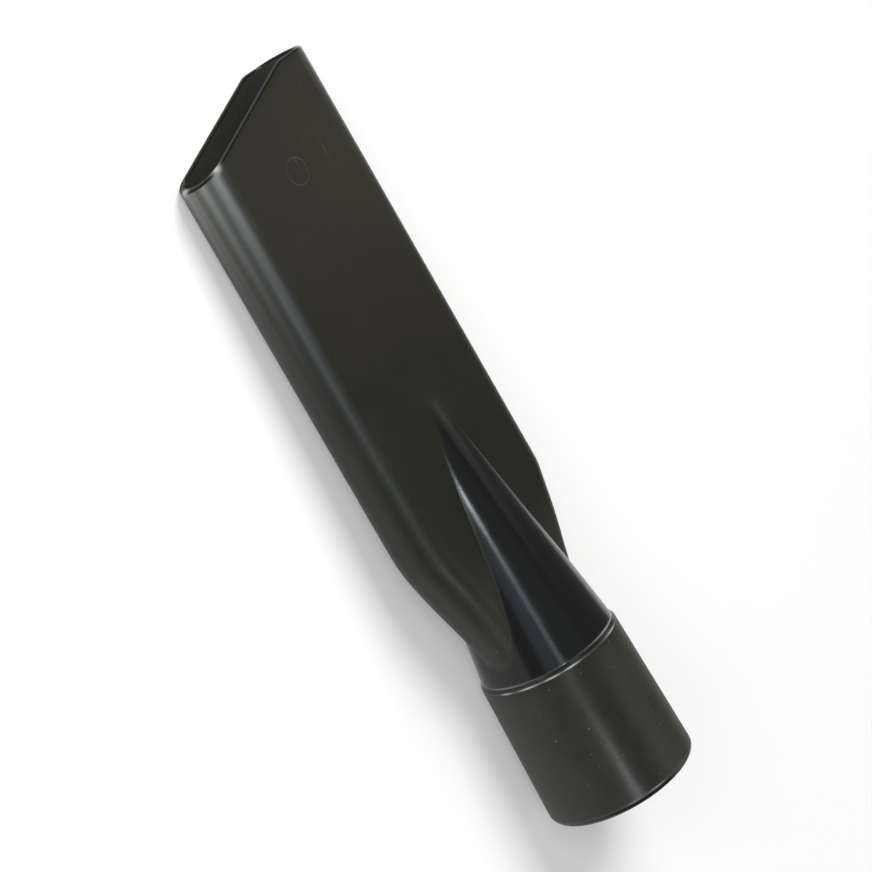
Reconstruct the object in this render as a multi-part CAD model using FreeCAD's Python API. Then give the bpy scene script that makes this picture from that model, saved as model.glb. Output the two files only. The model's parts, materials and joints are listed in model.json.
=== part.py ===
import FreeCAD, Part
import math
import os

from FreeCAD import Vector

# A vacuum crevice tool, moulded in one piece: a round socket collar, a stepped shoulder, a conical
# neck and a flat hollow blade with a slanted mouth. The neck's cone runs out over both faces of the
# blade as a pointed ridge. The tool is drawn along its own axis, +Z from the socket rim to the mouth,
# with the blade's width along X and its thickness along Y. It is then laid on its back, as it rests.

# Driving dimensions, in millimetres and degrees
overall_length = 201.9
wall = 1.8

rim_radius = 20.65
rim_round = 1.8
collar_length = 40.3
collar_top_radius = 19.3

socket_radius = 17.3
socket_depth = 38.5
entry_radius = 18.2
entry_length = 12.0

neck_radius = 18.6
shoulder_length = 1.3
shoulder_round = 0.9
ridge_height = 113.4

blade_width = 54.4
mouth_thickness = 14.2
face_draft = 0.4
face_bend_height = 67.0
face_taper = 6.0
face_bend_round = 90.0
side_round = 6.7
bend_height = 81.3
side_taper = 15.6
short_side_bend_round = 40.0
long_side_bend_round = 12.0

mouth_slant = 18.6
tip_width = 13.1
tip_bend_round = 5.0
mouth_edge_round = 0.6

# Largest share of half a wall or half the blade that a rounding takes
fullest_round = 0.96
# Widest spacing of the loft's sections round a bend
section_spacing = 3.0

# Sizes that follow from them
half_width = blade_width / 2
neck_start = collar_length + shoulder_length
edge_round = min(mouth_edge_round, fullest_round * wall / 2)
tip_bend_x = half_width - tip_width
mouth_slope = math.tan(math.radians(mouth_slant))
overlap = wall


def bend_reach(radius, turn):
    """Height from the middle of a bend to either end of its rounding."""
    return radius * math.tan(math.radians(turn) / 2)


def eased_ramp(distance, reach):
    """Zero ahead of a bend, the distance past it beyond, and a parabola tangent to both between."""
    if abs(distance) < reach:
        return (distance + reach) ** 2 / (4 * reach)
    return max(distance, 0.0)


def half_thickness(height, inset=0.0):
    """Half the blade's thickness: its faces close in evenly to the mouth, and bend in to the collar."""
    draft = math.radians(face_draft)
    reach = bend_reach(face_bend_round, face_taper)
    fall = math.tan(math.radians(face_taper)) * eased_ramp(face_bend_height - height, reach)
    drafted = mouth_thickness / 2 + (overall_length - height) * math.tan(draft)
    return drafted - fall - inset / math.cos(draft)


def half_width_at(height, bend_round, inset):
    """Blade's side from the axis: parallel to it, then bent in towards the collar."""
    taper = math.radians(side_taper)
    bend = bend_height + inset * math.tan(taper / 2)
    reach = bend_reach(bend_round - inset, side_taper)
    return half_width - inset - math.tan(taper) * eased_ramp(bend - height, reach)


def side_round_at(height):
    """Rounding of the blade's sides, smaller where the blade is too thin for it."""
    return min(side_round, fullest_round * half_thickness(height))


def mouth_height(x):
    """Height of the mouth's edge: slanted from the short side, then square across the tip."""
    return overall_length - mouth_slope * max(tip_bend_x - x, 0.0)


def neck_slope():
    """How fast the neck's cone narrows from the shoulder to the ridge's point."""
    return (neck_radius - half_thickness(ridge_height)) / (ridge_height - neck_start)


def neck_radius_at(height, inset=0.0):
    """Radius of the neck's cone at a height."""
    slope = neck_slope()
    return neck_radius - (height - neck_start) * slope - inset / math.cos(math.atan(slope))


def ridge_end():
    """Height at which the cone has sunk half a wall below the blade's faces."""
    return ridge_height + wall / 2 / (neck_slope() - math.tan(math.radians(face_draft)))


def turned(points):
    """Solid of revolution about Z, from its outline as (radius, height) pairs."""
    corners = [Vector(radius, 0, height) for radius, height in points]
    face = Part.Face(Part.makePolygon(corners + corners[:1]))
    return face.revolve(Vector(0, 0, 0), Vector(0, 0, 1), 360)


def ring_edge(shape, radius, height):
    """The circular edge of that radius at that height."""
    for edge in shape.Edges:
        circle = edge.Curve
        if isinstance(circle, Part.Circle) and abs(circle.Radius - radius) < 1e-4:
            if abs(circle.Center.z - height) < 1e-4:
                return edge
    raise ValueError("no such edge")


def collar_and_neck():
    """Flared collar with its rounded rim, the stepped shoulder, and the cone of the neck."""
    top = ridge_end()
    body = turned([
        (0, 0),
        (rim_radius, 0),
        (collar_top_radius, collar_length),
        (neck_radius, neck_start),
        (neck_radius_at(top), top),
        (0, top),
    ])
    body = body.makeFillet(rim_round, [ring_edge(body, rim_radius, 0)])
    shoulder = [
        ring_edge(body, collar_top_radius, collar_length),
        ring_edge(body, neck_radius, neck_start),
    ]
    return body.makeFillet(shoulder_round, shoulder)


def collar_and_neck_hollow():
    """Lead-in and straight land of the socket, the ledge at its end, and the inside of the neck."""
    top = ridge_end()
    return turned([
        (0, -overlap),
        (entry_radius + (entry_radius - socket_radius) * overlap / entry_length, -overlap),
        (socket_radius, entry_length),
        (socket_radius, socket_depth),
        (neck_radius_at(socket_depth, wall), socket_depth),
        (neck_radius_at(top, wall), top),
        (0, top),
    ])


def bend(corner, before, after, radius):
    """Arc of that radius that rounds the corner between two directions of travel."""
    turn = before.getAngle(after)
    reach = radius * math.tan(turn / 2)
    start = corner - before * reach
    end = corner + after * reach
    inward = (after - before).normalize()
    middle = corner + inward * (radius / math.cos(turn / 2) - radius)
    return start, end, Part.Arc(start, middle, end).toShape()


def blade_section(height, inset):
    """Rounded oblong across the blade at a height."""
    thick = half_thickness(height, inset)
    corner = side_round_at(height) - inset
    flat = thick - corner
    short_side = corner - half_width_at(height, short_side_bend_round, inset)
    long_side = half_width_at(height, long_side_bend_round, inset) - corner
    centres = [(long_side, -flat), (long_side, flat), (short_side, flat), (short_side, -flat)]
    arcs = []
    for quarter, (x, y) in enumerate(centres):
        turns = [math.radians(90 * quarter + turn) for turn in (-90, -45, 0)]
        points = [Vector(x + corner * math.cos(turn), y + corner * math.sin(turn), height) for turn in turns]
        arcs.append(Part.Arc(*points).toShape())
    edges = []
    for arc, following in zip(arcs, arcs[1:] + arcs[:1]):
        edges += [arc, Part.makeLine(arc.Vertexes[-1].Point, following.Vertexes[0].Point)]
    return Part.Wire(edges)


def blade(inset, bottom, top):
    """Blade as a loft of its sections, or its duct where the inset is the wall."""
    bends = [
        (face_bend_height, bend_reach(face_bend_round, face_taper)),
        (bend_height, bend_reach(short_side_bend_round, side_taper)),
        (bend_height, bend_reach(long_side_bend_round, side_taper)),
    ]
    heights = {bottom, mouth_height(-half_width) - wall, top}
    for middle, reach in bends:
        steps = math.ceil(reach / section_spacing)
        heights.update(middle + reach * step / steps for step in range(-steps, steps + 1))
    sections = [blade_section(height, inset) for height in sorted(heights) if bottom <= height <= top]
    return Part.makeLoft(sections, True, True)


def beyond_mouth():
    """Everything past the mouth's edge line, with its bend rounded, to trim the blade."""
    far = 2 * blade_width
    slant = math.radians(mouth_slant)
    rising = Vector(math.cos(slant), 0, math.sin(slant))
    across = Vector(1, 0, 0)
    corner = Vector(tip_bend_x, 0, overall_length)
    start, end, arc = bend(corner, rising, across, tip_bend_round)
    lines = [arc]
    lines += Part.makePolygon([
        end,
        Vector(far, 0, overall_length),
        Vector(far, 0, overall_length + far),
        Vector(-far, 0, overall_length + far),
        Vector(-far, 0, mouth_height(-far)),
        start,
    ]).Edges
    face = Part.Face(Part.Wire(Part.__sortEdges__(lines)))
    face.translate(Vector(0, -blade_width, 0))
    return face.extrude(Vector(0, 2 * blade_width, 0))


def round_mouth_edges(tool):
    """Break the inner and outer edges of the cut mouth."""
    lowest = mouth_height(-half_width) - edge_round
    cut_faces = []
    for face in tool.Faces:
        normal = face.normalAt(*face.Surface.parameter(face.CenterOfMass))
        if face.BoundBox.ZMin > lowest and normal.z > 0.5:
            cut_faces.append(face)
    inner_seams = [edge.hashCode() for face in cut_faces for edge in face.Edges]
    edges = [edge for face in cut_faces for edge in face.Edges if inner_seams.count(edge.hashCode()) == 1]
    return tool.makeFillet(edge_round, edges).Solids[0]


def moulding():
    """The whole tool along its own axis."""
    root = collar_length
    above = overall_length + wall
    solid = collar_and_neck().fuse(blade(0.0, root, above))
    hollow = collar_and_neck_hollow().fuse(blade(wall, root, above + overlap))
    tool = solid.cut(hollow).cut(beyond_mouth())
    return round_mouth_edges(tool.removeSplitter().Solids[0])


def laid_at_rest(tool):
    """Lay the tool on its back, on the collar and two back corners of the mouth.

    The collar touches at its rim or at its shoulder, whichever stands further out from the line to the
    mouth. +X runs along the floor towards the mouth, +Z is up, and the origin is the middle of the
    bottom of the bounding box.
    """
    edge_x = half_width - side_round_at(overall_length)
    tip = Vector(tip_bend_x, half_thickness(overall_length), overall_length)
    heel_height = mouth_height(-edge_x)
    heel = Vector(-edge_x, half_thickness(heel_height), heel_height)
    rings = [Vector(0, rim_radius, rim_round), Vector(0, collar_top_radius, collar_length)]
    collar = max(rings, key=lambda ring: (ring.y - tip.y) / (tip.z - ring.z))
    up = (tip - collar).cross(heel - collar).normalize()
    if up.y > 0:
        up = -up
    axis = Vector(0, 0, 1)
    ahead = (axis - up * axis.dot(up)).normalize()
    aside = up.cross(ahead)
    turn = FreeCAD.Matrix(
        ahead.x, ahead.y, ahead.z, 0,
        aside.x, aside.y, aside.z, 0,
        up.x, up.y, up.z, 0,
        0, 0, 0, 1)
    laid = tool.transformed(turn)
    box = laid.optimalBoundingBox(False, False)
    laid.translate(Vector(-box.Center.x, -box.Center.y, -box.ZMin))
    return laid


os.makedirs("parts", exist_ok=True)
laid_at_rest(moulding()).exportStep("parts/crevice_tool.step")
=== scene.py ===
import json
import math
from collections import namedtuple

import bpy
import numpy as np
from mathutils import Matrix, Vector


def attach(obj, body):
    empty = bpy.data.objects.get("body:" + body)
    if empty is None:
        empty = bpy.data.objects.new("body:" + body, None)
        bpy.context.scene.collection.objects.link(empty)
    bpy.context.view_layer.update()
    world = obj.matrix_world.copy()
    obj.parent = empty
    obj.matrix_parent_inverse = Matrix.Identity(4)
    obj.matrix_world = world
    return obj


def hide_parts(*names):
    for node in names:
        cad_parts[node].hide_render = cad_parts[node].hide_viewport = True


bl_info = {
    "name": "Vacuum Crevice Tool",
    "version": (1, 0, 0),
    "blender": (4, 5, 0),
    "location": "View3D > Sidebar > Crevice Tool",
    "description": "Moulded skin, plastic finish and plain studio for a vacuum crevice tool",
    "category": "Object",
}

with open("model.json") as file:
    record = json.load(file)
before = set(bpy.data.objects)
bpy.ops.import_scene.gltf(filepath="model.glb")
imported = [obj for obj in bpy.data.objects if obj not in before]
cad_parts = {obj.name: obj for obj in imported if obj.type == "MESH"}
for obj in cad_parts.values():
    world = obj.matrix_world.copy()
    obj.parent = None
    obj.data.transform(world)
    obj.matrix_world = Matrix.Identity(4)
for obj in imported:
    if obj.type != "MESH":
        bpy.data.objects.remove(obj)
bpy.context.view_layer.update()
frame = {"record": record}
SOCKET = frame["record"]["mounts"][0]
NODE = "crevice_tool"
BODY = "root"
MM = 0.001

# Columns round the tool, and fine steps used to spread them, in each quarter of a section
QUARTER_COLUMNS = 76
QUARTER_STEPS = 240
# Length in metres that one radian of turning counts for when columns are spread
TURN_WEIGHT = 9.0 * MM


def length(name, description, millimetres):
    """A length property, given in millimetres and kept in metres."""
    return bpy.props.FloatProperty(
        name=name, description=description, default=millimetres * MM, min=0.0, unit="LENGTH", precision=5)


def angle(name, description, degrees):
    """An angle property, given in degrees and kept in radians."""
    return bpy.props.FloatProperty(
        name=name, description=description, default=math.radians(degrees), subtype="ANGLE")


def colour(name, description, red, green, blue):
    """A colour property with linear red, green and blue."""
    return bpy.props.FloatVectorProperty(
        name=name, description=description, default=(red, green, blue), size=3,
        min=0.0, max=1.0, subtype="COLOR")


def share(name, description, default):
    """A property between none and all."""
    return bpy.props.FloatProperty(
        name=name, description=description, default=default, min=0.0, max=1.0, subtype="FACTOR")


def level(name, description, default):
    """A plain positive number, such as a brightness."""
    return bpy.props.FloatProperty(name=name, description=description, default=default, min=0.0)


class CreviceToolSizes(bpy.types.PropertyGroup):
    """Sizes of the moulding along its own axis, from the socket's rim to the mouth."""

    overall_length: length("Overall length", "From the socket's rim to the tip of the blade", 201.9)
    wall: length("Wall", "Thickness of the blade's and the neck's wall", 1.8)
    rim_radius: length("Rim radius", "Outside of the collar at its open end", 20.65)
    rim_round: length("Rim round", "Rounding of the collar's outer rim", 1.8)
    lead_in_round: length("Lead-in round", "Rounding of the socket's inner rim", 0.3)
    collar_length: length("Collar length", "From the rim to the shoulder", 40.3)
    collar_top_radius: length("Collar top radius", "Outside of the collar at the shoulder", 19.3)
    socket_radius: length("Socket radius", "Straight land that grips the tube", SOCKET["dims"]["r_mm"])
    socket_depth: length("Socket depth", "From the rim to the ledge that stops the tube", 38.5)
    entry_radius: length("Entry radius", "Wide end of the socket's lead-in", 18.2)
    entry_length: length("Entry length", "Length of the socket's lead-in", 12.0)
    neck_radius: length("Neck radius", "Outside of the neck just above the shoulder", 18.6)
    shoulder_length: length("Shoulder length", "Height of the step from the collar to the neck", 1.3)
    shoulder_round: length("Shoulder round", "Rounding of the step's two edges", 0.9)
    ridge_height: length("Ridge height", "Where the neck's cone runs out into the blade's faces", 113.4)
    ridge_fillet: length("Ridge fillet", "How far the cone eases into the blade's face", 0.2)
    blade_width: length("Blade width", "Across the parallel sides of the blade", 54.4)
    mouth_thickness: length("Mouth thickness", "Through the blade at its tip", 14.2)
    face_draft: angle("Face draft", "How the blade's faces close in towards the mouth", 0.4)
    face_bend_height: length("Face bend height", "Where the faces bend in towards the collar", 67.0)
    face_taper: angle("Face taper", "Slope of the faces below their bend", 6.0)
    face_bend_round: length("Face bend round", "Rounding of the faces' bend", 90.0)
    side_round: length("Side round", "Rounding of the blade's narrow sides", 6.7)
    fullest_round: share("Fullest round", "Share of half the blade's thickness rounded at the collar", 0.96)
    bend_height: length("Bend height", "Where the sides bend in towards the collar", 81.3)
    side_taper: angle("Side taper", "Slope of the sides below the bend", 15.6)
    short_side_bend_round: length("Short side bend", "Rounding of the bend on the short side", 40.0)
    long_side_bend_round: length("Long side bend", "Rounding of the bend on the long side", 12.0)
    mouth_slant: angle("Mouth slant", "Slope of the mouth's long edge", 18.6)
    tip_width: length("Tip width", "Width of the square-cut tip", 13.1)
    tip_bend_round: length("Tip bend round", "Rounding where the slant meets the tip", 5.0)
    mouth_edge_round: length("Mouth edge round", "Rounding of the mouth's two edges", 0.6)
    mark_height: length("Mark height", "Height of the round moulding mark on the front face", 177.8)
    mark_radius: length("Mark radius", "Radius of the mark's raised line", 3.5)
    mark_line: length("Mark line", "Width of the mark's raised line", 0.36)
    mark_lift: length("Mark lift", "How far the mark's line stands out", 0.05)


class CreviceToolFinish(bpy.types.PropertyGroup):
    """Colours and gloss of the black plastic."""

    body: colour("Body", "Olive black of the plastic", 0.0080, 0.0086, 0.0046)
    body_pale: colour("Pale body", "Paler patches of the plastic", 0.0120, 0.0126, 0.0076)
    # This colour is also painted shade on the rim's rounding.
    polished_and_shaded: colour("Polished", "Cleaner black of the polished neck", 0.0065, 0.0068, 0.0064)
    duct: colour("Duct", "Grey of the duct", 0.020, 0.022, 0.020)
    duct_pale: colour("Pale duct", "Paler patches of the duct", 0.027, 0.029, 0.027)
    # This colour is also laid on the blade's tapered end as a painted sheen.
    dust_and_sheen: colour("Dust", "Dust film and specks", 0.17, 0.18, 0.11)
    # This share also sets the strength of the painted sheen on the tapered end.
    film: share("Film", "Share of the collar's colour that its dust film takes", 0.090)
    tip_specks: share("Tip specks", "Specks at the blade's tip, beside the collar's", 0.5)
    # This pale colour is both the scuffs' colour and that of the painted highlights, glints and sheen bands.
    highlight_and_rub: colour("Rub", "Nicks, rubbed edges and scuffs", 0.42, 0.44, 0.42)
    scuffs: share("Scuffs", "Share of the tip's colour that its scuffs take", 0.11)
    roughness: share("Roughness", "Roughness of the blade and collar", 0.40)
    neck_roughness: share("Neck roughness", "Roughness of the polished neck", 0.17)
    duct_roughness: share("Duct roughness", "Roughness inside the duct", 0.42)


class CreviceToolStudio(bpy.types.PropertyGroup):
    """Camera, floor and ambient light."""

    view_azimuth: angle("View azimuth", "Camera's turn round the tool's axis, from its front face", 45.81)
    view_elevation: angle("View elevation", "Camera's rise towards the mouth", 14.04)
    view_roll: angle("View roll", "Lean of the tool's axis in the picture", 29.87)
    view_distance: length("View distance", "From the camera to the tool's middle", 649.4)
    view_height: length("View height", "Point on the tool's axis that the camera is set from", 98.8)
    aim_up: length("Aim up", "How far above that point the camera aims", 5.05)
    lens: bpy.props.FloatProperty(
        name="Lens", description="Focal length on a 36 mm sensor", default=108.3, unit="CAMERA")
    floor: colour("Floor", "Plain pale floor", 0.85, 0.85, 0.85)
    floor_lift: level("Floor lift", "White added to the floor where it is seen or mirrored", 0.21)
    floor_near: length("Shadow floor", "Distance from the object where the floor begins to whiten", 140.0)
    floor_far: length("White floor", "Distance from the object where the floor is plain white", 450.0)
    ambient: level("Ambient", "Brightness of the world", 0.22)


# A soft box stands along the frame's X, leans over from straight up towards +Y, and faces the tool.
# It lights matt surfaces, or shows as a reflection in gloss.
Lamp = namedtuple("Lamp", "name shows along over distance aim span breadth radiance tint")
LAMPS = (
    Lamp("key_box", "matt", 2.40, -8.0, 2.30, 0.0, 2.00, 2.00, 7.2, (1.0, 0.99, 0.97)),
    Lamp("fill_box", "matt", 1.10, 52.0, 2.40, 0.0, 1.60, 1.60, 4.6, (0.97, 0.98, 1.0)),
    Lamp("face_pane", "gloss", 0.10, -45.0, 0.50, 0.06, 0.22, 0.40, 0.52, (1.0, 1.0, 0.92)),
    Lamp("low_pane", "gloss", -0.30, -35.0, 0.42, -0.05, 0.20, 0.50, 1.0, (1.0, 1.0, 0.82)),
    Lamp("tongue_pane", "gloss", -0.28, 48.0, 0.42, -0.05, 0.16, 0.44, 0.55, (1.0, 1.0, 0.80)),
    Lamp("upper_pane", "gloss", 0.095, 14.0, 0.16, 0.09, 0.09, 0.04, 4.2, (0.84, 0.94, 1.0)),
    Lamp("lower_pane", "gloss", 0.090, 74.0, 0.175, 0.09, 0.09, 0.04, 3.0, (0.98, 1.0, 0.97)),
    Lamp("side_pane", "gloss", -0.05, 12.0, 0.50, 0.0, 0.30, 0.35, 0.16, (0.75, 0.85, 1.0)),
    Lamp("ridge_strip", "gloss", 0.050, 36.0, 0.42, 0.0, 0.055, 0.055, 36.0, (0.84, 0.92, 1.0)),
    Lamp("neck_strip", "gloss", -0.040, 36.0, 0.42, -0.04, 0.10, 0.050, 3.6, (0.72, 0.85, 1.0)),
    Lamp("halo_pane", "gloss", 0.00, 52.0, 0.42, -0.02, 0.16, 0.14, 0.95, (0.58, 0.74, 1.0)),
    Lamp("gold_pane", "gloss", 0.050, -50.0, 0.42, 0.03, 0.05, 0.12, 2.6, (1.0, 0.76, 0.36)),
    Lamp("collar_strip", "gloss", -0.25, 34.0, 0.42, -0.09, 0.10, 0.030, 32.0, (0.86, 0.92, 1.0)),
)

# Pale spots painted on the mouth's edge as glints on its rounded corners, in millimetres across and through
# the blade
GLINT_SPOTS = ((-22.4, -6.3), (-26.8, 2.4), (24.0, -6.1), (19.5, 7.0))
GLINT_RADIUS = 1.2 * MM

# A painted highlight line along an edge has a plain level, the width of its line, and streaks of middle,
# width and strength, which are painted glints.
# Streaks are in degrees round the axis, from the front face towards the short side.
Edge = namedtuple("Edge", "plain line streaks")
SHOULDER_HIGHLIGHT = Edge(0.10, 0.20 * MM, (
    (-12.0, 9.0, 0.8), (36.0, 6.0, 0.8), (53.0, 6.0, 0.8), (73.0, 8.0, 0.8), (93.0, 5.0, 0.8)))
NECK_FOOT_HIGHLIGHT = Edge(0.12, 0.18 * MM, ((-25.0, 28.0, 1.7), (95.0, 25.0, 0.6)))
RIM_LIP_HIGHLIGHT = Edge(0.16, 0.20 * MM, ((26.0, 6.0, 0.9), (46.0, 4.0, 0.5)))
# How far above its rounding the painted highlight line on the rim's lip lies
RIM_LIP_RISE = 0.1 * MM
# Brightness of fully painted sheen and highlight lines, beside a painted glint's
HIGHLIGHT_SHARE = 0.5

# Painted reflection bands on the blade's sides, in degrees that the side has turned from the face: middle and
# width
SIDE_SHEEN_BANDS = ((29.0, 9.0), (64.0, 9.0), (97.0, 12.0))
SIDE_SHEEN = 0.34
BAND_SHEEN = 0.58
SIDE_SHEEN_FADE = 20.0 * MM
# Painted highlight line on the mouth's inner edge along the front, what the heel adds to it, and its width in
# rows
INNER_EDGE_HIGHLIGHT = 0.05
INNER_HEEL_HIGHLIGHT = 0.40
INNER_EDGE_ROWS = 1.5

# Clean strip along the collar and dull flank of the neck, in degrees round the axis: middle and width
CLEAN_STRIP = (34.0, 24.0)
DULL_FLANK = (-75.0, 35.0)
DULL_SHARE = 0.7
# Share of its dust that the clean strip has lost
STRIP_DUST_LOSS = 0.2
# Painted sheen on the blade's tapered end, laid as a pale film: how far below the sides' bend it starts, and
# over what length it grows
TAPER_SHEEN_START = 4.0 * MM
TAPER_SHEEN_GROWTH = 24.0 * MM
# Length over which a finish eases in past an edge
FINISH_EASE = 0.3 * MM

# Where along the frame's X the specks and scuffs at the tip begin, and where they are full
TIP_WEAR = (62.0 * MM, 94.0 * MM)
# Dust film and painted sheen where the mottling is darkest, beside the palest
THIN_FILM = 0.7
# Roughness lost and gained by the mottling
MOTTLED_GLOSS = (-0.03, 0.04)
GRAIN_DEPTH = 0.02 * MM

# Rows across the mouth's cut wall, and points along and round the line of the moulding mark
MOUTH_RIM_ROWS = 13
MARK_STEPS = 144
MARK_SIDES = 12
# Least painted highlight on the mark's line, what its brighter sides add as painted highlights, and how far
# those are turned
MARK_HIGHLIGHT = (0.015, 0.045)
MARK_TURN = 0.6


def eased_ramp(distance, reach):
    """Zero below -reach, the distance itself above +reach, and a parabola tangent to both between."""
    eased = np.clip(distance + reach, 0.0, 2.0 * reach) ** 2 / (4.0 * reach)
    return np.where(distance > reach, distance, eased)


def quarter_round(depth, radius):
    """How far a rounded edge falls back at a depth from the edge: a circle's arc, zero past its radius."""
    short = np.clip(radius - depth, 0.0, radius)
    return radius - np.sqrt(radius ** 2 - short ** 2)


def half_thickness(sizes, height, inset):
    """Half the blade's thickness: the mouth's half plus the draft times the distance from the tip.

    Below the faces' bend it loses the taper's slope times an eased ramp.
    """
    draft, taper = sizes.face_draft, sizes.face_taper
    drafted = sizes.mouth_thickness / 2 + (sizes.overall_length - height) * math.tan(draft)
    reach = sizes.face_bend_round * math.tan(taper / 2)
    fall = math.tan(taper) * eased_ramp(sizes.face_bend_height - height, reach)
    return drafted - fall - inset / math.cos(draft)


def half_width(sizes, height, bend_round, inset):
    """Half the blade's width: its parallel side less the taper's slope times an eased ramp below the bend."""
    half_taper = math.tan(sizes.side_taper / 2)
    bend = sizes.bend_height + inset * half_taper
    fall = eased_ramp(bend - height, (bend_round - inset) * half_taper)
    return sizes.blade_width / 2 - inset - math.tan(sizes.side_taper) * fall


def mouth_height(sizes, across):
    """Height of the mouth's edge: the tip's height less the slant times an eased ramp from the tip's bend."""
    bend_x = sizes.blade_width / 2 - sizes.tip_width
    reach = sizes.tip_bend_round * math.tan(sizes.mouth_slant / 2)
    return sizes.overall_length - math.tan(sizes.mouth_slant) * eased_ramp(bend_x - across, reach)


def side_round(sizes, height):
    """Rounding of the blade's sides: even down to the end of the faces' bend, then falling evenly.

    At the collar it is the fullest share of half the blade's thickness.
    """
    bend_end = sizes.face_bend_height - sizes.face_bend_round * math.tan(sizes.face_taper / 2)
    at_collar = sizes.fullest_round * half_thickness(sizes, sizes.collar_length, 0.0)
    down = np.clip((bend_end - height) / (bend_end - sizes.collar_length), 0.0, 1.0)
    return sizes.side_round + (at_collar - sizes.side_round) * down


def blade_radius(sizes, angles, height, inset):
    """Distance from the axis to the blade's rounded oblong, in a direction.

    A ray meets the flat side, the flat face, or else the corner's circle, where the distance is the
    larger root of a quadratic.
    """
    height = np.maximum(height, sizes.collar_length)
    cosine = np.cos(angles)
    run = np.maximum(np.abs(cosine), 1e-9)
    climb = np.maximum(np.abs(np.sin(angles)), 1e-9)
    long_half = half_width(sizes, height, sizes.long_side_bend_round, inset)
    short_half = half_width(sizes, height, sizes.short_side_bend_round, inset)
    half = np.where(cosine > 0.0, long_half, short_half)
    thick = half_thickness(sizes, height, inset)
    corner = side_round(sizes, height) - inset
    centre_x = half - corner
    centre_y = thick - corner
    along = centre_x * run + centre_y * climb
    to_corner = along + np.sqrt(np.maximum(along ** 2 - centre_x ** 2 - centre_y ** 2 + corner ** 2, 0.0))
    to_side = half / run
    to_face = thick / climb
    radius = np.where(to_face * run <= centre_x, to_face, to_corner)
    return np.where(to_side * climb <= centre_y, to_side, radius)


def neck_cone(sizes):
    """Height at which the neck's cone starts, and its slope from there to the ridge's point."""
    neck_start = sizes.collar_length + sizes.shoulder_length
    ridge_radius = float(half_thickness(sizes, sizes.ridge_height, 0.0))
    return neck_start, (ridge_radius - sizes.neck_radius) / (sizes.ridge_height - neck_start)


def turned_radius(sizes, height):
    """Outside of the collar, shoulder and neck: three straight slopes joined by eased ramps.

    Below the rim's rounding the arc of the rim is taken off.
    """
    neck_start, neck_slope = neck_cone(sizes)
    collar_slope = (sizes.collar_top_radius - sizes.rim_radius) / sizes.collar_length
    step_slope = (sizes.neck_radius - sizes.collar_top_radius) / sizes.shoulder_length
    upper_turn = math.atan(step_slope) - math.atan(collar_slope)
    lower_turn = math.atan(neck_slope) - math.atan(step_slope)
    upper_reach = sizes.shoulder_round * math.tan(abs(upper_turn) / 2)
    lower_reach = sizes.shoulder_round * math.tan(abs(lower_turn) / 2)
    radius = sizes.rim_radius + collar_slope * height
    radius += (step_slope - collar_slope) * eased_ramp(height - sizes.collar_length, upper_reach)
    radius += (neck_slope - step_slope) * eased_ramp(height - neck_start, lower_reach)
    return radius - quarter_round(height, sizes.rim_round)


def hollow_radius(sizes, height):
    """Inside of the socket and neck: lead-in, straight land, and past the ledge the neck less the wall."""
    neck_start, neck_slope = neck_cone(sizes)
    flare = (sizes.entry_radius - sizes.socket_radius) / sizes.entry_length
    socket = sizes.socket_radius + flare * eased_ramp(sizes.entry_length - height, sizes.lead_in_round)
    socket = socket + quarter_round(height, sizes.lead_in_round)
    neck = sizes.neck_radius + (height - neck_start) * neck_slope
    neck = neck - sizes.wall / math.cos(math.atan(neck_slope))
    return np.where(height <= sizes.socket_depth, socket, neck)


def skin_radius(sizes, angles, height, inset):
    """Distance from the axis to one face of the wall: the larger of the blade and the turned part, eased."""
    blade = blade_radius(sizes, angles, height, inset)
    turned = hollow_radius(sizes, height) if inset else turned_radius(sizes, height)
    return blade + eased_ramp(turned - blade, sizes.ridge_fillet)


def spread_angles(sizes, levels, inset):
    """Angles round the axis for each level, closest together where the section bends most.

    Each quarter of a section is walked in fine steps. The walk adds up its length plus a weight times its
    turning, and the columns are the angles at equal steps of that sum.
    """
    steps = np.linspace(0.0, math.pi / 2, QUARTER_STEPS + 1)
    quarters = np.arange(4) * math.pi / 2
    fine = np.broadcast_to(quarters[:, None] + steps, (len(levels), 4, QUARTER_STEPS + 1))
    radius = skin_radius(sizes, fine, levels[:, None, None], inset)
    x_steps = np.diff(radius * np.cos(fine), axis=-1)
    y_steps = np.diff(radius * np.sin(fine), axis=-1)
    heading = np.unwrap(np.arctan2(y_steps, x_steps), axis=-1)
    turning = np.abs(np.diff(heading, axis=-1, append=heading[..., -1:]))
    walked = np.cumsum(np.hypot(x_steps, y_steps) + TURN_WEIGHT * turning, axis=-1)
    walked = np.concatenate([np.zeros_like(walked[..., :1]), walked], axis=-1)
    walked = walked / walked[..., -1:]
    apart = 2.0 * np.arange(len(levels) * 4).reshape(len(levels), 4, 1)
    wanted = np.arange(QUARTER_COLUMNS) / QUARTER_COLUMNS + apart
    angles = np.interp(wanted.ravel(), (walked + apart).ravel(), fine.ravel())
    return angles.reshape(len(levels), 4 * QUARTER_COLUMNS)


def wall_rows(sizes, levels, fan_height, inset):
    """Points of one face of the wall, a row for each level and a column for each angle.

    A row is a level section up to the fan height. Above it the rows lean evenly, so that the last follows
    the mouth's edge, whose height is found by repeating: radius, then place across, then height.
    """
    angles = spread_angles(sizes, levels, inset)
    top = np.full(angles.shape[1], sizes.overall_length)
    for _ in range(4):
        across = skin_radius(sizes, angles[-1], top, inset) * np.cos(angles[-1])
        top = mouth_height(sizes, across) - sizes.mouth_edge_round
    rise = np.clip((levels - fan_height) / (levels[-1] - fan_height), 0.0, 1.0)[:, None]
    height = np.where(rise > 0.0, fan_height + rise * (top - fan_height), levels[:, None])
    radius = skin_radius(sizes, angles, height, inset)
    return np.stack([radius * np.cos(angles), radius * np.sin(angles), height], axis=-1)


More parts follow.
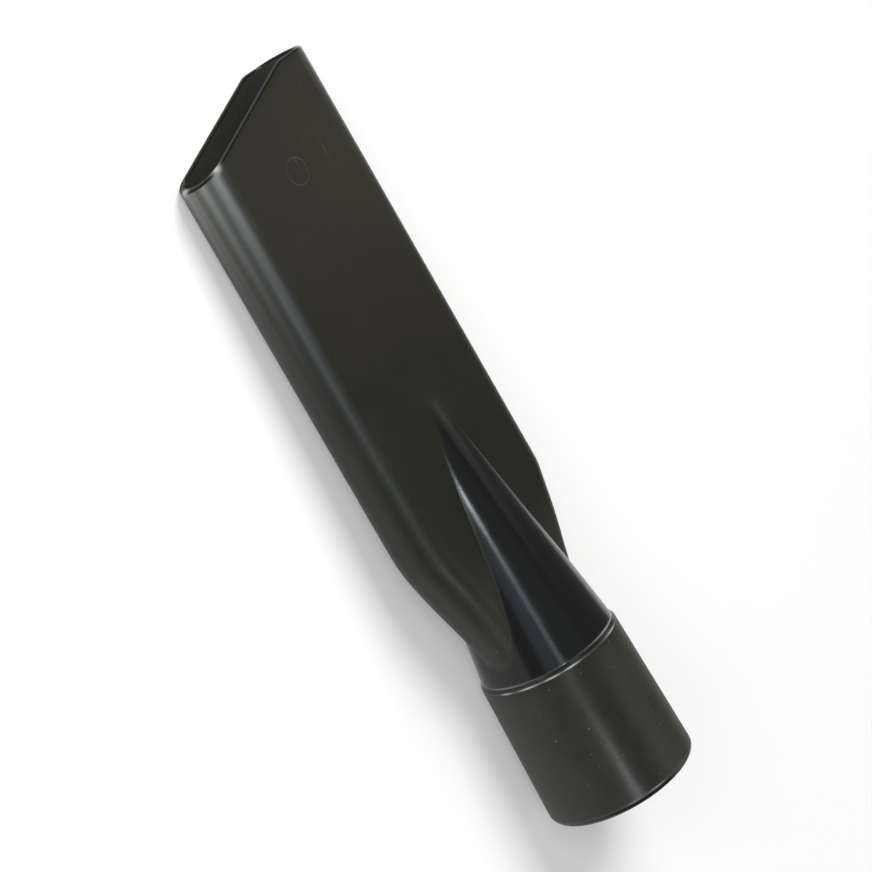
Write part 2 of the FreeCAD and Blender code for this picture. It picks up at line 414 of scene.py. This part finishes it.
def mouth_rim_rows(sizes, outer, inner, count):
    """Rows across the cut wall at the mouth, which falls back in a quarter round at both of its edges."""
    across_wall = (1.0 - np.cos(np.linspace(0.0, math.pi, count + 2)[1:-1])) / 2
    depth = across_wall * sizes.wall
    near_edge = np.minimum(depth, sizes.wall - depth)
    rows = outer + (inner - outer) * across_wall[:, None, None]
    drop = quarter_round(near_edge, sizes.mouth_edge_round)
    rows[..., 2] = mouth_height(sizes, rows[..., 0]) - drop[:, None]
    return rows


def outer_levels(sizes, fan_height):
    """Heights of the outer rows: close on the rim, shoulder, ridge and mouth, wide on plain stretches."""
    neck_start = sizes.collar_length + sizes.shoulder_length
    easing = sizes.shoulder_round
    rim = sizes.rim_round * (1.0 - np.cos(np.linspace(0.0, math.pi / 2, 9)))
    return np.concatenate([
        rim,
        np.linspace(sizes.rim_round, 2.0 * sizes.rim_round, 13)[1:],
        np.linspace(2.0 * sizes.rim_round, sizes.collar_length - easing, 11)[1:],
        np.linspace(sizes.collar_length - easing, neck_start + easing, 32)[1:],
        np.linspace(neck_start + easing, sizes.ridge_height, 112)[1:],
        np.linspace(sizes.ridge_height, fan_height, 10)[1:],
        np.linspace(fan_height, sizes.overall_length, 26)[1:],
    ])


def inner_levels(sizes, fan_height):
    """Heights of the inner rows, with the ledge as a short step."""
    ledge = sizes.socket_depth
    return np.concatenate([
        sizes.lead_in_round * (1.0 - np.cos(np.linspace(0.0, math.pi / 2, 5))),
        np.linspace(sizes.lead_in_round, ledge, 22)[1:],
        np.linspace(ledge + sizes.lead_in_round, sizes.bend_height, 34),
        np.linspace(sizes.bend_height, fan_height, 20)[1:],
        np.linspace(fan_height, sizes.overall_length, 12)[1:],
    ])


def mark_ring(sizes, around, section):
    """Points of the moulding mark: a flat oval section carried round a circle on the front face.

    The circle's radius varies by half the line's width times the cosine of the section's angle, and the
    points stand out of the face by the lift times its sine.
    """
    radius = sizes.mark_radius + 0.5 * sizes.mark_line * np.cos(section)
    height = sizes.mark_height + radius * np.sin(around)
    depth = -half_thickness(sizes, height, 0.0) - sizes.mark_lift * np.sin(section)
    return np.stack([radius * np.cos(around), depth, height], axis=-1)


def rest_axes(sizes):
    """Turn from the tool's own axes to the frame's: rows ahead, aside and up.

    The tool lies on its shoulder and on two back corners of the mouth. Up is square to the plane of those
    three points, and ahead is the tool's axis laid on that plane.
    """
    bend_x = sizes.blade_width / 2 - sizes.tip_width
    edge_x = sizes.blade_width / 2 - sizes.side_round
    heel_height = float(mouth_height(sizes, -edge_x))
    tip = np.array([bend_x, half_thickness(sizes, sizes.overall_length, 0.0), sizes.overall_length])
    heel = np.array([-edge_x, half_thickness(sizes, heel_height, 0.0), heel_height])
    shoulder = np.array([0.0, sizes.collar_top_radius, sizes.collar_length])
    up = np.cross(heel - shoulder, tip - shoulder)
    up = -up * np.sign(up[1]) / np.linalg.norm(up)
    ahead = np.array([0.0, 0.0, 1.0]) - up * up[2]
    ahead = ahead / np.linalg.norm(ahead)
    return np.array([ahead, np.cross(up, ahead), up])


def in_frame(sizes, points):
    """Points of the tool's own axes, turned to rest and moved so that the socket is at its mount."""
    axes = rest_axes(sizes)
    land_middle = (sizes.entry_length + sizes.socket_depth) / 2
    origin = np.array(SOCKET["pos_m"]) - axes @ np.array([0.0, 0.0, land_middle])
    return points @ axes.T + origin


def bell(distance, width):
    """Bell curve of a distance: one at zero, falling to 1/e at the width."""
    return np.exp(-(distance / width) ** 2)


def degrees_from_front(across, through):
    """Angle round the axis from the front face towards the short side."""
    return np.degrees(np.arctan2(-across, -through))


def mouth_side_sheen(sizes, across, through, below_mouth):
    """Painted sheen on the blade's rounded sides, in three painted reflection bands along them that fade
    from the mouth.

    The side's normal turns from the front by an angle whose sine is the depth into the rounding. The sheen
    is a level that grows with the root of that depth, plus a bell curve of the angle for each band, and
    falls off exponentially below the mouth.
    """
    depth = np.clip((np.abs(across) - sizes.blade_width / 2) / sizes.side_round + 1.0, 0.0, 1.0)
    turn = np.degrees(np.arcsin(depth))
    turn = np.where(through > 0.0, 180.0 - turn, turn)
    # Each band is a painted reflection, and the level that grows with the depth is a painted sheen.
    bands = sum(bell(turn - middle, width) for middle, width in SIDE_SHEEN_BANDS)
    sheen = (SIDE_SHEEN * np.sqrt(depth) + BAND_SHEEN * bands) * (depth > 0.0)
    return sheen * np.exp(-below_mouth / SIDE_SHEEN_FADE)


def highlight_line(edge, turn, distance):
    """Painted highlight line along an edge: its plain level plus its strongest streak, times a bell curve of
    the distance.

    A streak is a painted glint: its strength times a bell curve of the angle round the axis.
    """
    streaks = [strength * bell(turn - middle, width) for middle, width, strength in edge.streaks]
    return (edge.plain + np.maximum.reduce(streaks)) * bell(distance, edge.line)


def painted_highlights(sizes, rows, outer_count, rim_count):
    """How much painted highlight each point takes, up to one in a painted glint.

    The painted reflection bands on the mouth's sides, the painted highlight line on its inner edge, its
    painted glints, and the painted highlight lines on the shoulder's two edges and the rim's lip are each a
    bell curve or an exponential of the distance from their edge, and the strongest counts.
    """
    across, through, height = rows[..., 0], rows[..., 1], rows[..., 2]
    below_mouth = mouth_height(sizes, across) - height
    row = np.arange(len(rows))[:, None]
    outside = row < outer_count
    outside_or_rim = row < outer_count + rim_count
    side_sheen = mouth_side_sheen(sizes, across, through, below_mouth) * outside
    heel = np.clip((-across - sizes.blade_width / 2) / sizes.side_round + 1.0, 0.0, 1.0)
    # Painted highlight line on the mouth's inner edge, brighter at the heel.
    inner_edge = bell(row - (outer_count + rim_count - 2), INNER_EDGE_ROWS) * (through < 0.0)
    inner_edge = inner_edge * (INNER_EDGE_HIGHLIGHT + INNER_HEEL_HIGHLIGHT * heel)
    # Painted glints on the mouth's edge.
    glints = [bell(np.hypot(across - x * MM, through - y * MM), GLINT_RADIUS) for x, y in GLINT_SPOTS]
    glints = np.maximum.reduce(glints) * bell(below_mouth, GLINT_RADIUS) * outside_or_rim
    turn = degrees_from_front(across, through)
    above_collar = height - sizes.collar_length
    # Painted highlight lines, with painted glints, on the shoulder's two edges and on the rim's lip.
    shoulder = highlight_line(SHOULDER_HIGHLIGHT, turn, above_collar) * outside
    foot = highlight_line(NECK_FOOT_HIGHLIGHT, turn, above_collar - sizes.shoulder_length) * outside
    lip = highlight_line(RIM_LIP_HIGHLIGHT, turn, height - sizes.rim_round - RIM_LIP_RISE) * outside
    highlighted = np.clip(np.maximum.reduce([side_sheen, inner_edge, foot, lip]), 0.0, 1.0)
    return np.maximum.reduce([HIGHLIGHT_SHARE * highlighted, shoulder, glints])


def on_collar(sizes, rows):
    """One on the collar between the rim's rounding and the shoulder's, eased at both ends."""
    height = rows[..., 2]
    below = np.clip((sizes.collar_length - height) / sizes.shoulder_round - 0.5, 0.0, 1.0)
    return below * np.clip((height - sizes.rim_round) / FINISH_EASE, 0.0, 1.0)


def clean_strip(sizes, rows):
    """Strip along the collar that is wiped clean of dust: a bell curve of the angle round it."""
    middle, width = CLEAN_STRIP
    return on_collar(sizes, rows) * bell(degrees_from_front(rows[..., 0], rows[..., 1]) - middle, width)


def proud_neck(sizes, rows):
    """How far the neck's cone stands out of the blade, as a share of a millimetre."""
    height = rows[..., 2]
    angles = np.arctan2(rows[..., 1], rows[..., 0])
    proud = turned_radius(sizes, height) - blade_radius(sizes, angles, height, 0.0)
    return np.clip(proud / MM, 0.0, 1.0)


def dust_and_sheen_cover(sizes, rows):
    """Dust on the collar, thinner along its clean strip, and a painted sheen, laid as a pale film, on the
    blade's tapered end.

    On the tapered end the painted sheen grows evenly from below the sides' bend towards the collar.
    """
    height = rows[..., 2]
    collar = on_collar(sizes, rows) * (1.0 - STRIP_DUST_LOSS * clean_strip(sizes, rows))
    # Painted sheen on the tapered end, laid as a pale film.
    tapered = np.clip((sizes.bend_height - TAPER_SHEEN_START - height) / TAPER_SHEEN_GROWTH, 0.0, 1.0)
    above = height > sizes.collar_length + sizes.shoulder_length
    return np.maximum(collar, tapered * above * (1.0 - proud_neck(sizes, rows)))


def polished_and_shaded(sizes, rows):
    """One on the neck's cone, the collar's clean strip and the rim's rounding, and none on the blade.

    The cone counts by how far it stands out of the blade, over a millimetre, and less on its dull flank. On
    the rim's rounding the darker colour that this mask brings in is painted shade.
    """
    height = rows[..., 2]
    above = (height - sizes.collar_length) / sizes.shoulder_length
    neck = proud_neck(sizes, rows) * np.clip(above, 0.0, 1.0)
    # Painted shade: the rim's rounding takes the darker colour of this mask.
    rim = np.clip((sizes.rim_round - height) / FINISH_EASE, 0.0, 1.0)
    middle, width = DULL_FLANK
    flank = 1.0 - DULL_SHARE * bell(degrees_from_front(rows[..., 0], rows[..., 1]) - middle, width)
    return np.maximum.reduce([neck * flank, clean_strip(sizes, rows), rim])


def add_values(mesh, name, values):
    """Keep one value for each point of the mesh under that name."""
    attribute = mesh.attributes.new(name, "FLOAT", "POINT")
    attribute.data.foreach_set("value", values.astype(np.float32).ravel())


def closed_grid(name, rows):
    """Mesh of a grid of points whose rows and columns both close on themselves, facing outwards."""
    count, columns = rows.shape[:2]
    here = np.arange(count * columns).reshape(count, columns)
    beside = np.roll(here, -1, axis=1)
    above = np.roll(here, -1, axis=0)
    across = np.roll(above, -1, axis=1)
    quads = np.stack([here, beside, across, above], axis=-1).reshape(-1, 4)
    mesh = bpy.data.meshes.new(name)
    mesh.vertices.add(count * columns)
    mesh.vertices.foreach_set("co", rows.astype(np.float32).ravel())
    mesh.loops.add(quads.size)
    mesh.loops.foreach_set("vertex_index", quads.astype(np.int32).ravel())
    mesh.polygons.add(len(quads))
    mesh.polygons.foreach_set("loop_start", np.arange(0, quads.size, 4, dtype=np.int32))
    mesh.polygons.foreach_set("use_smooth", np.ones(len(quads), dtype=bool))
    mesh.update(calc_edges=True)
    if mesh.validate():
        raise RuntimeError(f"{name} has faces that are not sound")
    return mesh


def as_piece(mesh, *materials):
    """The mesh as a piece that rides on the tool, with the materials it is given."""
    for material in materials:
        mesh.materials.append(material)
    piece = bpy.data.objects.new(mesh.name, mesh)
    bpy.context.scene.collection.objects.link(piece)
    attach(piece, BODY)
    return piece


def add_node(tree, kind, inputs=None, **settings):
    """A node with its settings and the values of its named inputs."""
    made = tree.nodes.new(kind)
    for key, value in settings.items():
        setattr(made, key, value)
    for key, value in (inputs or {}).items():
        made.inputs[key].default_value = value
    return made


def link(tree, source, output, target, socket):
    """Join an output to an input, both by name or number."""
    tree.links.new(source.outputs[output], target.inputs[socket])


def new_group(name, inputs, outputs):
    """An empty node group with float or vector sockets, and its input and output nodes."""
    group = bpy.data.node_groups.new(name, "ShaderNodeTree")
    for title, kind, default in inputs:
        socket = group.interface.new_socket(title, in_out="INPUT", socket_type=kind)
        if default is not None:
            socket.default_value = default
    for title in outputs:
        group.interface.new_socket(title, in_out="OUTPUT", socket_type="NodeSocketFloat")
    return group, group.nodes.new("NodeGroupInput"), group.nodes.new("NodeGroupOutput")


def moulded_grain_group():
    """Fine spark-eroded grain for the bump, and broad mottling of colour and gloss."""
    group, given, result = new_group(
        "Moulded Grain",
        [("Vector", "NodeSocketVector", None), ("Grain", "NodeSocketFloat", 2600.0),
         ("Mottle", "NodeSocketFloat", 55.0)],
        ["Height", "Mottling"])
    grain = add_node(group, "ShaderNodeTexNoise", {"Detail": 2.0, "Roughness": 0.6})
    mottle = add_node(group, "ShaderNodeTexNoise", {"Detail": 8.0, "Roughness": 0.72})
    spread = add_node(group, "ShaderNodeMapRange", {"From Min": 0.36, "From Max": 0.64}, clamp=True)
    link(group, given, "Vector", grain, "Vector")
    link(group, given, "Grain", grain, "Scale")
    link(group, given, "Vector", mottle, "Vector")
    link(group, given, "Mottle", mottle, "Scale")
    link(group, mottle, "Fac", spread, "Value")
    link(group, grain, "Fac", result, "Height")
    link(group, spread, "Result", result, "Mottling")
    return group


def dust_specks_group():
    """Specks: a point in each cell of space, shown where the surface passes close to it."""
    group, given, result = new_group(
        "Dust Specks",
        [("Vector", "NodeSocketVector", None), ("Density", "NodeSocketFloat", 520.0),
         ("Size", "NodeSocketFloat", 0.21)],
        ["Mask"])
    cells = add_node(group, "ShaderNodeTexVoronoi", {"Randomness": 1.0}, feature="F1")
    tone = add_node(group, "ShaderNodeSeparateColor")
    reach = add_node(group, "ShaderNodeMath", operation="MULTIPLY")
    speck = add_node(group, "ShaderNodeMapRange", {"From Min": 0.0, "To Min": 1.0, "To Max": 0.0},
                     interpolation_type="SMOOTHSTEP", clamp=True)
    strength = add_node(group, "ShaderNodeMath", operation="MULTIPLY")
    link(group, given, "Vector", cells, "Vector")
    link(group, given, "Density", cells, "Scale")
    link(group, cells, "Color", tone, "Color")
    link(group, given, "Size", reach, 0)
    link(group, tone, "Red", reach, 1)
    link(group, cells, "Distance", speck, "Value")
    link(group, reach, "Value", speck, "From Max")
    link(group, speck, "Result", strength, 0)
    link(group, tone, "Green", strength, 1)
    link(group, strength, "Value", result, "Mask")
    return group


def scuff_marks_group():
    """Short fine scratches: noise drawn out along the tool, kept only at its crests."""
    group, given, result = new_group(
        "Scuff Marks",
        [("Vector", "NodeSocketVector", None), ("Scale", "NodeSocketFloat", 420.0),
         ("Cut", "NodeSocketFloat", 0.66)],
        ["Mask"])
    drawn = add_node(group, "ShaderNodeMapping",
                     {"Rotation": (0.0, 0.0, math.radians(24.0)), "Scale": (0.10, 1.0, 1.0)})
    noise = add_node(group, "ShaderNodeTexNoise", {"Detail": 3.0, "Roughness": 0.55})
    top = add_node(group, "ShaderNodeMath", {1: 0.1}, operation="ADD")
    crest = add_node(group, "ShaderNodeMapRange", interpolation_type="SMOOTHSTEP", clamp=True)
    link(group, given, "Vector", drawn, "Vector")
    link(group, drawn, "Vector", noise, "Vector")
    link(group, given, "Scale", noise, "Scale")
    link(group, given, "Cut", crest, "From Min")
    link(group, given, "Cut", top, 0)
    link(group, top, "Value", crest, "From Max")
    link(group, noise, "Fac", crest, "Value")
    link(group, crest, "Result", result, "Mask")
    return group


def effect(name, build):
    """The node group of that name, built the first time it is asked for."""
    return bpy.data.node_groups.get(name) or build()


def place_group(tree, group, coordinates, **inputs):
    """A group node in a material, fed with the piece's own coordinates."""
    placed = add_node(tree, "ShaderNodeGroup", node_tree=group)
    for key, value in inputs.items():
        placed.inputs[key].default_value = value
    link(tree, coordinates, "Object", placed, "Vector")
    return placed


def mixed(tree, under, factor, over):
    """Colour socket that goes from the colour under to the fixed colour over, by a factor socket."""
    mix = add_node(tree, "ShaderNodeMix", data_type="RGBA")
    mix.inputs["B"].default_value = (*over, 1.0)
    tree.links.new(under, mix.inputs["A"])
    tree.links.new(factor, mix.inputs["Factor"])
    return mix.outputs["Result"]


def times(tree, first, second):
    """Product of a socket and a socket or a number."""
    product = add_node(tree, "ShaderNodeMath", operation="MULTIPLY")
    tree.links.new(first, product.inputs[0])
    if isinstance(second, float):
        product.inputs[1].default_value = second
    else:
        tree.links.new(second, product.inputs[1])
    return product.outputs["Value"]


def band(tree, coordinates, axis, low, high):
    """Mask that rises from none at low to all at high along one axis of the frame."""
    split = add_node(tree, "ShaderNodeSeparateXYZ")
    ramp = add_node(tree, "ShaderNodeMapRange", {"From Min": low, "From Max": high},
                    interpolation_type="SMOOTHSTEP", clamp=True)
    link(tree, coordinates, "Object", split, "Vector")
    link(tree, split, axis, ramp, "Value")
    return ramp.outputs["Result"]


def plastic(name, finish, body, pale, roughness, specular, relief):
    """Moulded plastic with mottling, polish, dust film and specks, scuffs, painted highlights, painted sheen,
    painted shade and fine grain.
    """
    material = bpy.data.materials.new(name)
    material.use_nodes = True
    tree = material.node_tree
    shader = tree.nodes["Principled BSDF"]
    shader.inputs["IOR"].default_value = 1.45
    shader.inputs["Specular IOR Level"].default_value = specular
    coordinates = add_node(tree, "ShaderNodeTexCoord")
    grain = place_group(tree, effect("Moulded Grain", moulded_grain_group), coordinates)
    specks = place_group(tree, effect("Dust Specks", dust_specks_group), coordinates)
    marks = place_group(tree, effect("Scuff Marks", scuff_marks_group), coordinates)
    highlight_and_rub, polish_and_shade, film = (
        add_node(tree, "ShaderNodeAttribute", attribute_name=title).outputs["Fac"]
        for title in ("highlight_and_rub", "polish_and_shade", "film"))

    settled = add_node(tree, "ShaderNodeMapRange", {"To Min": THIN_FILM * finish.film, "To Max": finish.film})
    link(tree, grain, "Mottling", settled, "Value")
    dust_and_sheen_film = times(tree, settled.outputs["Result"], film)
    tip = band(tree, coordinates, "X", *TIP_WEAR)
    strewn = add_node(tree, "ShaderNodeMath", operation="MAXIMUM")
    tree.links.new(film, strewn.inputs[0])
    tree.links.new(times(tree, tip, finish.tip_specks), strewn.inputs[1])
    specked = times(tree, specks.outputs["Mask"], strewn.outputs["Value"])
    scuffed = times(tree, times(tree, marks.outputs["Mask"], tip), finish.scuffs)

    mottled = add_node(tree, "ShaderNodeMix", data_type="RGBA")
    mottled.inputs["A"].default_value = (*body, 1.0)
    mottled.inputs["B"].default_value = (*pale, 1.0)
    link(tree, grain, "Mottling", mottled, "Factor")
    # This mask brings a darker colour that is painted shade on the rim's rounding.
    tone = mixed(tree, mottled.outputs["Result"], polish_and_shade, finish.polished_and_shaded)
    # The film brings dust on the collar and a painted sheen on the tapered end.
    tone = mixed(tree, tone, dust_and_sheen_film, finish.dust_and_sheen)
    tone = mixed(tree, tone, specked, finish.dust_and_sheen)
    tone = mixed(tree, tone, scuffed, finish.highlight_and_rub)
    # This attribute lays painted highlights, glints and sheen bands in the pale colour.
    tone = mixed(tree, tone, highlight_and_rub, finish.highlight_and_rub)
    tree.links.new(tone, shader.inputs["Base Color"])

    smoothest, roughest = (roughness + change for change in MOTTLED_GLOSS)
    gloss = add_node(tree, "ShaderNodeMapRange", {"To Min": smoothest, "To Max": roughest}, clamp=True)
    link(tree, grain, "Mottling", gloss, "Value")
    dulled = add_node(tree, "ShaderNodeMath", operation="ADD")
    link(tree, gloss, "Result", dulled, 0)
    tree.links.new(dust_and_sheen_film, dulled.inputs[1])
    smoother = add_node(tree, "ShaderNodeMath", operation="ADD", use_clamp=True)
    link(tree, dulled, "Value", smoother, 0)
    tree.links.new(times(tree, polish_and_shade, finish.neck_roughness - finish.roughness), smoother.inputs[1])
    tree.links.new(smoother.outputs["Value"], shader.inputs["Roughness"])

    grained = add_node(tree, "ShaderNodeBump", {"Strength": relief, "Distance": GRAIN_DEPTH})
    link(tree, grain, "Height", grained, "Height")
    link(tree, grained, "Normal", shader, "Normal")
    return material


def light_path_mask(tree):
    """One for rays from the camera, from gloss and through glass, none for the rest."""
    path = add_node(tree, "ShaderNodeLightPath")
    seen = add_node(tree, "ShaderNodeMath", operation="MAXIMUM")
    shown = add_node(tree, "ShaderNodeMath", operation="MAXIMUM")
    link(tree, path, "Is Camera Ray", seen, 0)
    link(tree, path, "Is Glossy Ray", seen, 1)
    link(tree, seen, "Value", shown, 0)
    link(tree, path, "Is Transmission Ray", shown, 1)
    return shown.outputs["Value"]


def floor_material(studio):
    """Pale matt floor that takes the shadow, and runs out to white where it is seen or mirrored."""
    material = bpy.data.materials.new("pale_floor")
    material.use_nodes = True
    tree = material.node_tree
    tree.nodes.clear()
    matt = add_node(tree, "ShaderNodeBsdfDiffuse", {"Color": (*studio.floor, 1.0)})
    glow = add_node(tree, "ShaderNodeEmission")
    both = add_node(tree, "ShaderNodeAddShader")
    output = add_node(tree, "ShaderNodeOutputMaterial")
    seen = light_path_mask(tree)
    tree.links.new(times(tree, seen, studio.floor_lift), glow.inputs["Strength"])
    link(tree, matt, 0, both, 0)
    link(tree, glow, 0, both, 1)
    away = add_node(tree, "ShaderNodeVectorMath", operation="LENGTH")
    link(tree, add_node(tree, "ShaderNodeTexCoord"), "Object", away, 0)
    outer = add_node(tree, "ShaderNodeMapRange",
                     {"From Min": studio.floor_near, "From Max": studio.floor_far},
                     interpolation_type="SMOOTHSTEP", clamp=True)
    link(tree, away, "Value", outer, "Value")
    white = add_node(tree, "ShaderNodeEmission")
    run_out = add_node(tree, "ShaderNodeMixShader")
    tree.links.new(times(tree, outer.outputs["Result"], seen), run_out.inputs["Fac"])
    link(tree, both, 0, run_out, 1)
    link(tree, white, 0, run_out, 2)
    link(tree, run_out, 0, output, "Surface")
    return material


def facing(place, target):
    """Turn that points a lamp's or camera's -Z from its place at the target."""
    return (target - place).to_track_quat("-Z", "Y").to_matrix().to_4x4()


def soft_box(lamp):
    """Rectangular area light. Its power is its radiance times pi times its area."""
    over = math.radians(lamp.over)
    place = Vector((lamp.along, lamp.distance * math.sin(over), lamp.distance * math.cos(over)))
    light = bpy.data.lights.new(lamp.name, "AREA")
    light.shape = "RECTANGLE"
    light.size = lamp.span
    light.size_y = lamp.breadth
    light.color = lamp.tint
    light.energy = lamp.radiance * math.pi * lamp.span * lamp.breadth
    box = bpy.data.objects.new(lamp.name, light)
    box.matrix_world = Matrix.Translation(place) @ facing(place, Vector((lamp.aim, 0.0, 0.0)))
    box.visible_camera = False
    box.visible_diffuse = lamp.shows == "matt"
    box.visible_glossy = lamp.shows == "gloss"
    bpy.context.scene.collection.objects.link(box)


def photo_camera(sizes, studio):
    """Camera at the photo's angle, worked out in the tool's own axes and turned to the frame.

    It stands off the tool's axis by its azimuth from the front face and its rise towards the mouth, and is
    rolled so that the axis leans across the picture.
    """
    turn, rise, roll = studio.view_azimuth, studio.view_elevation, studio.view_roll
    back = np.array([-math.sin(turn) * math.cos(rise), -math.cos(turn) * math.cos(rise), math.sin(rise)])
    level_right = np.array([math.cos(turn), -math.sin(turn), 0.0])
    level_up = np.cross(back, level_right)
    up = math.sin(roll) * level_right + math.cos(roll) * level_up
    middle = np.array([0.0, 0.0, studio.view_height])
    ends = np.array([middle + back * studio.view_distance, middle + up * studio.aim_up])
    place, target = in_frame(sizes, ends)
    away = (place - target) / np.linalg.norm(place - target)
    right = np.cross(rest_axes(sizes) @ up, away)
    right = right / np.linalg.norm(right)
    basis = np.eye(4)
    basis[:3] = np.column_stack([right, np.cross(away, right), away, place])
    camera = bpy.data.cameras.new("photo_camera")
    camera.lens = studio.lens
    camera.clip_start = 0.01
    holder = bpy.data.objects.new("photo_camera", camera)
    holder.matrix_world = Matrix(basis.tolist())
    bpy.context.scene.collection.objects.link(holder)
    bpy.context.scene.camera = holder


class CREVICE_OT_moulding(bpy.types.Operator):
    """Build the whole moulding as one closed skin: outside, mouth rim, duct and socket"""

    bl_idname = "crevice.moulding"
    bl_label = "Build moulding"

    def execute(self, context):
        sizes = context.scene.crevice_sizes
        finish = context.scene.crevice_finish
        fan_height = float(mouth_height(sizes, -sizes.blade_width / 2)) - sizes.blade_width / 2
        outer = wall_rows(sizes, outer_levels(sizes, fan_height), fan_height, 0.0)
        inner = wall_rows(sizes, inner_levels(sizes, fan_height), fan_height, sizes.wall)
        rim = mouth_rim_rows(sizes, outer[-1], inner[-1], MOUTH_RIM_ROWS)
        rows = np.concatenate([outer, rim, inner[::-1]])
        mesh = closed_grid("moulding", in_frame(sizes, rows))

        # Painted highlights, glints and sheen bands.
        add_values(mesh, "highlight_and_rub", painted_highlights(sizes, rows, len(outer), len(rim)))
        # Polish, with painted shade on the rim's rounding.
        add_values(mesh, "polish_and_shade", polished_and_shaded(sizes, rows))
        # Dust film, with painted sheen on the tapered end.
        add_values(mesh, "film", dust_and_sheen_cover(sizes, rows))

        shell = plastic("black_plastic", finish, finish.body, finish.body_pale, finish.roughness,
                        specular=0.35, relief=0.25)
        cut = plastic("cut_plastic", finish, finish.body, finish.body_pale, finish.duct_roughness,
                      specular=0.1, relief=0.5)
        duct = plastic("duct_plastic", finish, finish.duct, finish.duct_pale, finish.duct_roughness,
                       specular=0.3, relief=0.5)
        row_of_face = np.arange(len(mesh.polygons)) // rows.shape[1]
        kind = np.searchsorted([len(outer), len(outer) + len(rim)], row_of_face, side="right")
        piece = as_piece(mesh, shell, cut, duct)
        mesh.polygons.foreach_set("material_index", kind.astype(np.int32))
        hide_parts(NODE)
        return {"FINISHED"}


class CREVICE_OT_mark(bpy.types.Operator):
    """Build the raised round moulding mark on the blade's front face"""

    bl_idname = "crevice.mark"
    bl_label = "Build moulding mark"

    def execute(self, context):
        sizes = context.scene.crevice_sizes
        finish = context.scene.crevice_finish
        turns = [np.linspace(0.0, 2.0 * math.pi, count, endpoint=False) for count in (MARK_STEPS, MARK_SIDES)]
        around, section = np.meshgrid(*turns, indexing="ij")
        mesh = closed_grid("moulding_mark", in_frame(sizes, mark_ring(sizes, around, section)))
        # Painted highlights on the mark's line, brighter on two sides.
        least, brighter = MARK_HIGHLIGHT
        add_values(mesh, "highlight_and_rub", least + brighter * np.sin(around + MARK_TURN) ** 2)
        line = plastic("mark_plastic", finish, finish.body, finish.body_pale, finish.roughness,
                       specular=0.5, relief=0.25)
        as_piece(mesh, line)
        return {"FINISHED"}


class CREVICE_OT_stage(bpy.types.Operator):
    """Set the floor, the soft boxes, the world and the camera"""

    bl_idname = "crevice.stage"
    bl_label = "Set the stage"

    def execute(self, context):
        sizes = context.scene.crevice_sizes
        studio = context.scene.crevice_studio
        reach = 20.0
        mesh = bpy.data.meshes.new("floor")
        corners = [(-reach, -reach, 0.0), (reach, -reach, 0.0), (reach, reach, 0.0), (-reach, reach, 0.0)]
        mesh.from_pydata(corners, [], [(0, 1, 2, 3)])
        mesh.materials.append(floor_material(studio))
        floor = bpy.data.objects.new("floor", mesh)
        context.scene.collection.objects.link(floor)
        for lamp in LAMPS:
            soft_box(lamp)
        world = bpy.data.worlds.new("studio_world")
        world.use_nodes = True
        backdrop = world.node_tree.nodes["Background"]
        backdrop.inputs["Color"].default_value = (1.0, 1.0, 1.0, 1.0)
        backdrop.inputs["Strength"].default_value = studio.ambient
        context.scene.world = world
        context.scene.view_settings.view_transform = "Standard"
        photo_camera(sizes, studio)
        return {"FINISHED"}


class CREVICE_PT_panel(bpy.types.Panel):
    """Sidebar panel with the tool's sizes, finish and build steps"""

    bl_idname = "CREVICE_PT_panel"
    bl_label = "Crevice Tool"
    bl_space_type = "VIEW_3D"
    bl_region_type = "UI"
    bl_category = "Crevice Tool"

    def draw(self, context):
        layout = self.layout
        for operator in OPERATORS:
            layout.operator(operator.bl_idname)
        for title in GROUPS:
            group = getattr(context.scene, title)
            box = layout.box()
            for name in group.__annotations__:
                box.prop(group, name)


GROUPS = {
    "crevice_sizes": CreviceToolSizes,
    "crevice_finish": CreviceToolFinish,
    "crevice_studio": CreviceToolStudio,
}
OPERATORS = (CREVICE_OT_moulding, CREVICE_OT_mark, CREVICE_OT_stage)


def register():
    """Register the classes and hang the property groups on the scene."""
    for made in (*GROUPS.values(), *OPERATORS, CREVICE_PT_panel):
        bpy.utils.register_class(made)
    for name, group in GROUPS.items():
        setattr(bpy.types.Scene, name, bpy.props.PointerProperty(type=group))


def unregister():
    """Take the property groups off the scene and unregister the classes."""
    for name in GROUPS:
        delattr(bpy.types.Scene, name)
    for made in reversed((*GROUPS.values(), *OPERATORS, CREVICE_PT_panel)):
        bpy.utils.unregister_class(made)


def main():
    """Build the pieces and the stage in order."""
    register()
    bpy.ops.crevice.moulding()
    bpy.ops.crevice.mark()
    bpy.ops.crevice.stage()


if __name__ == "__main__":
    main()
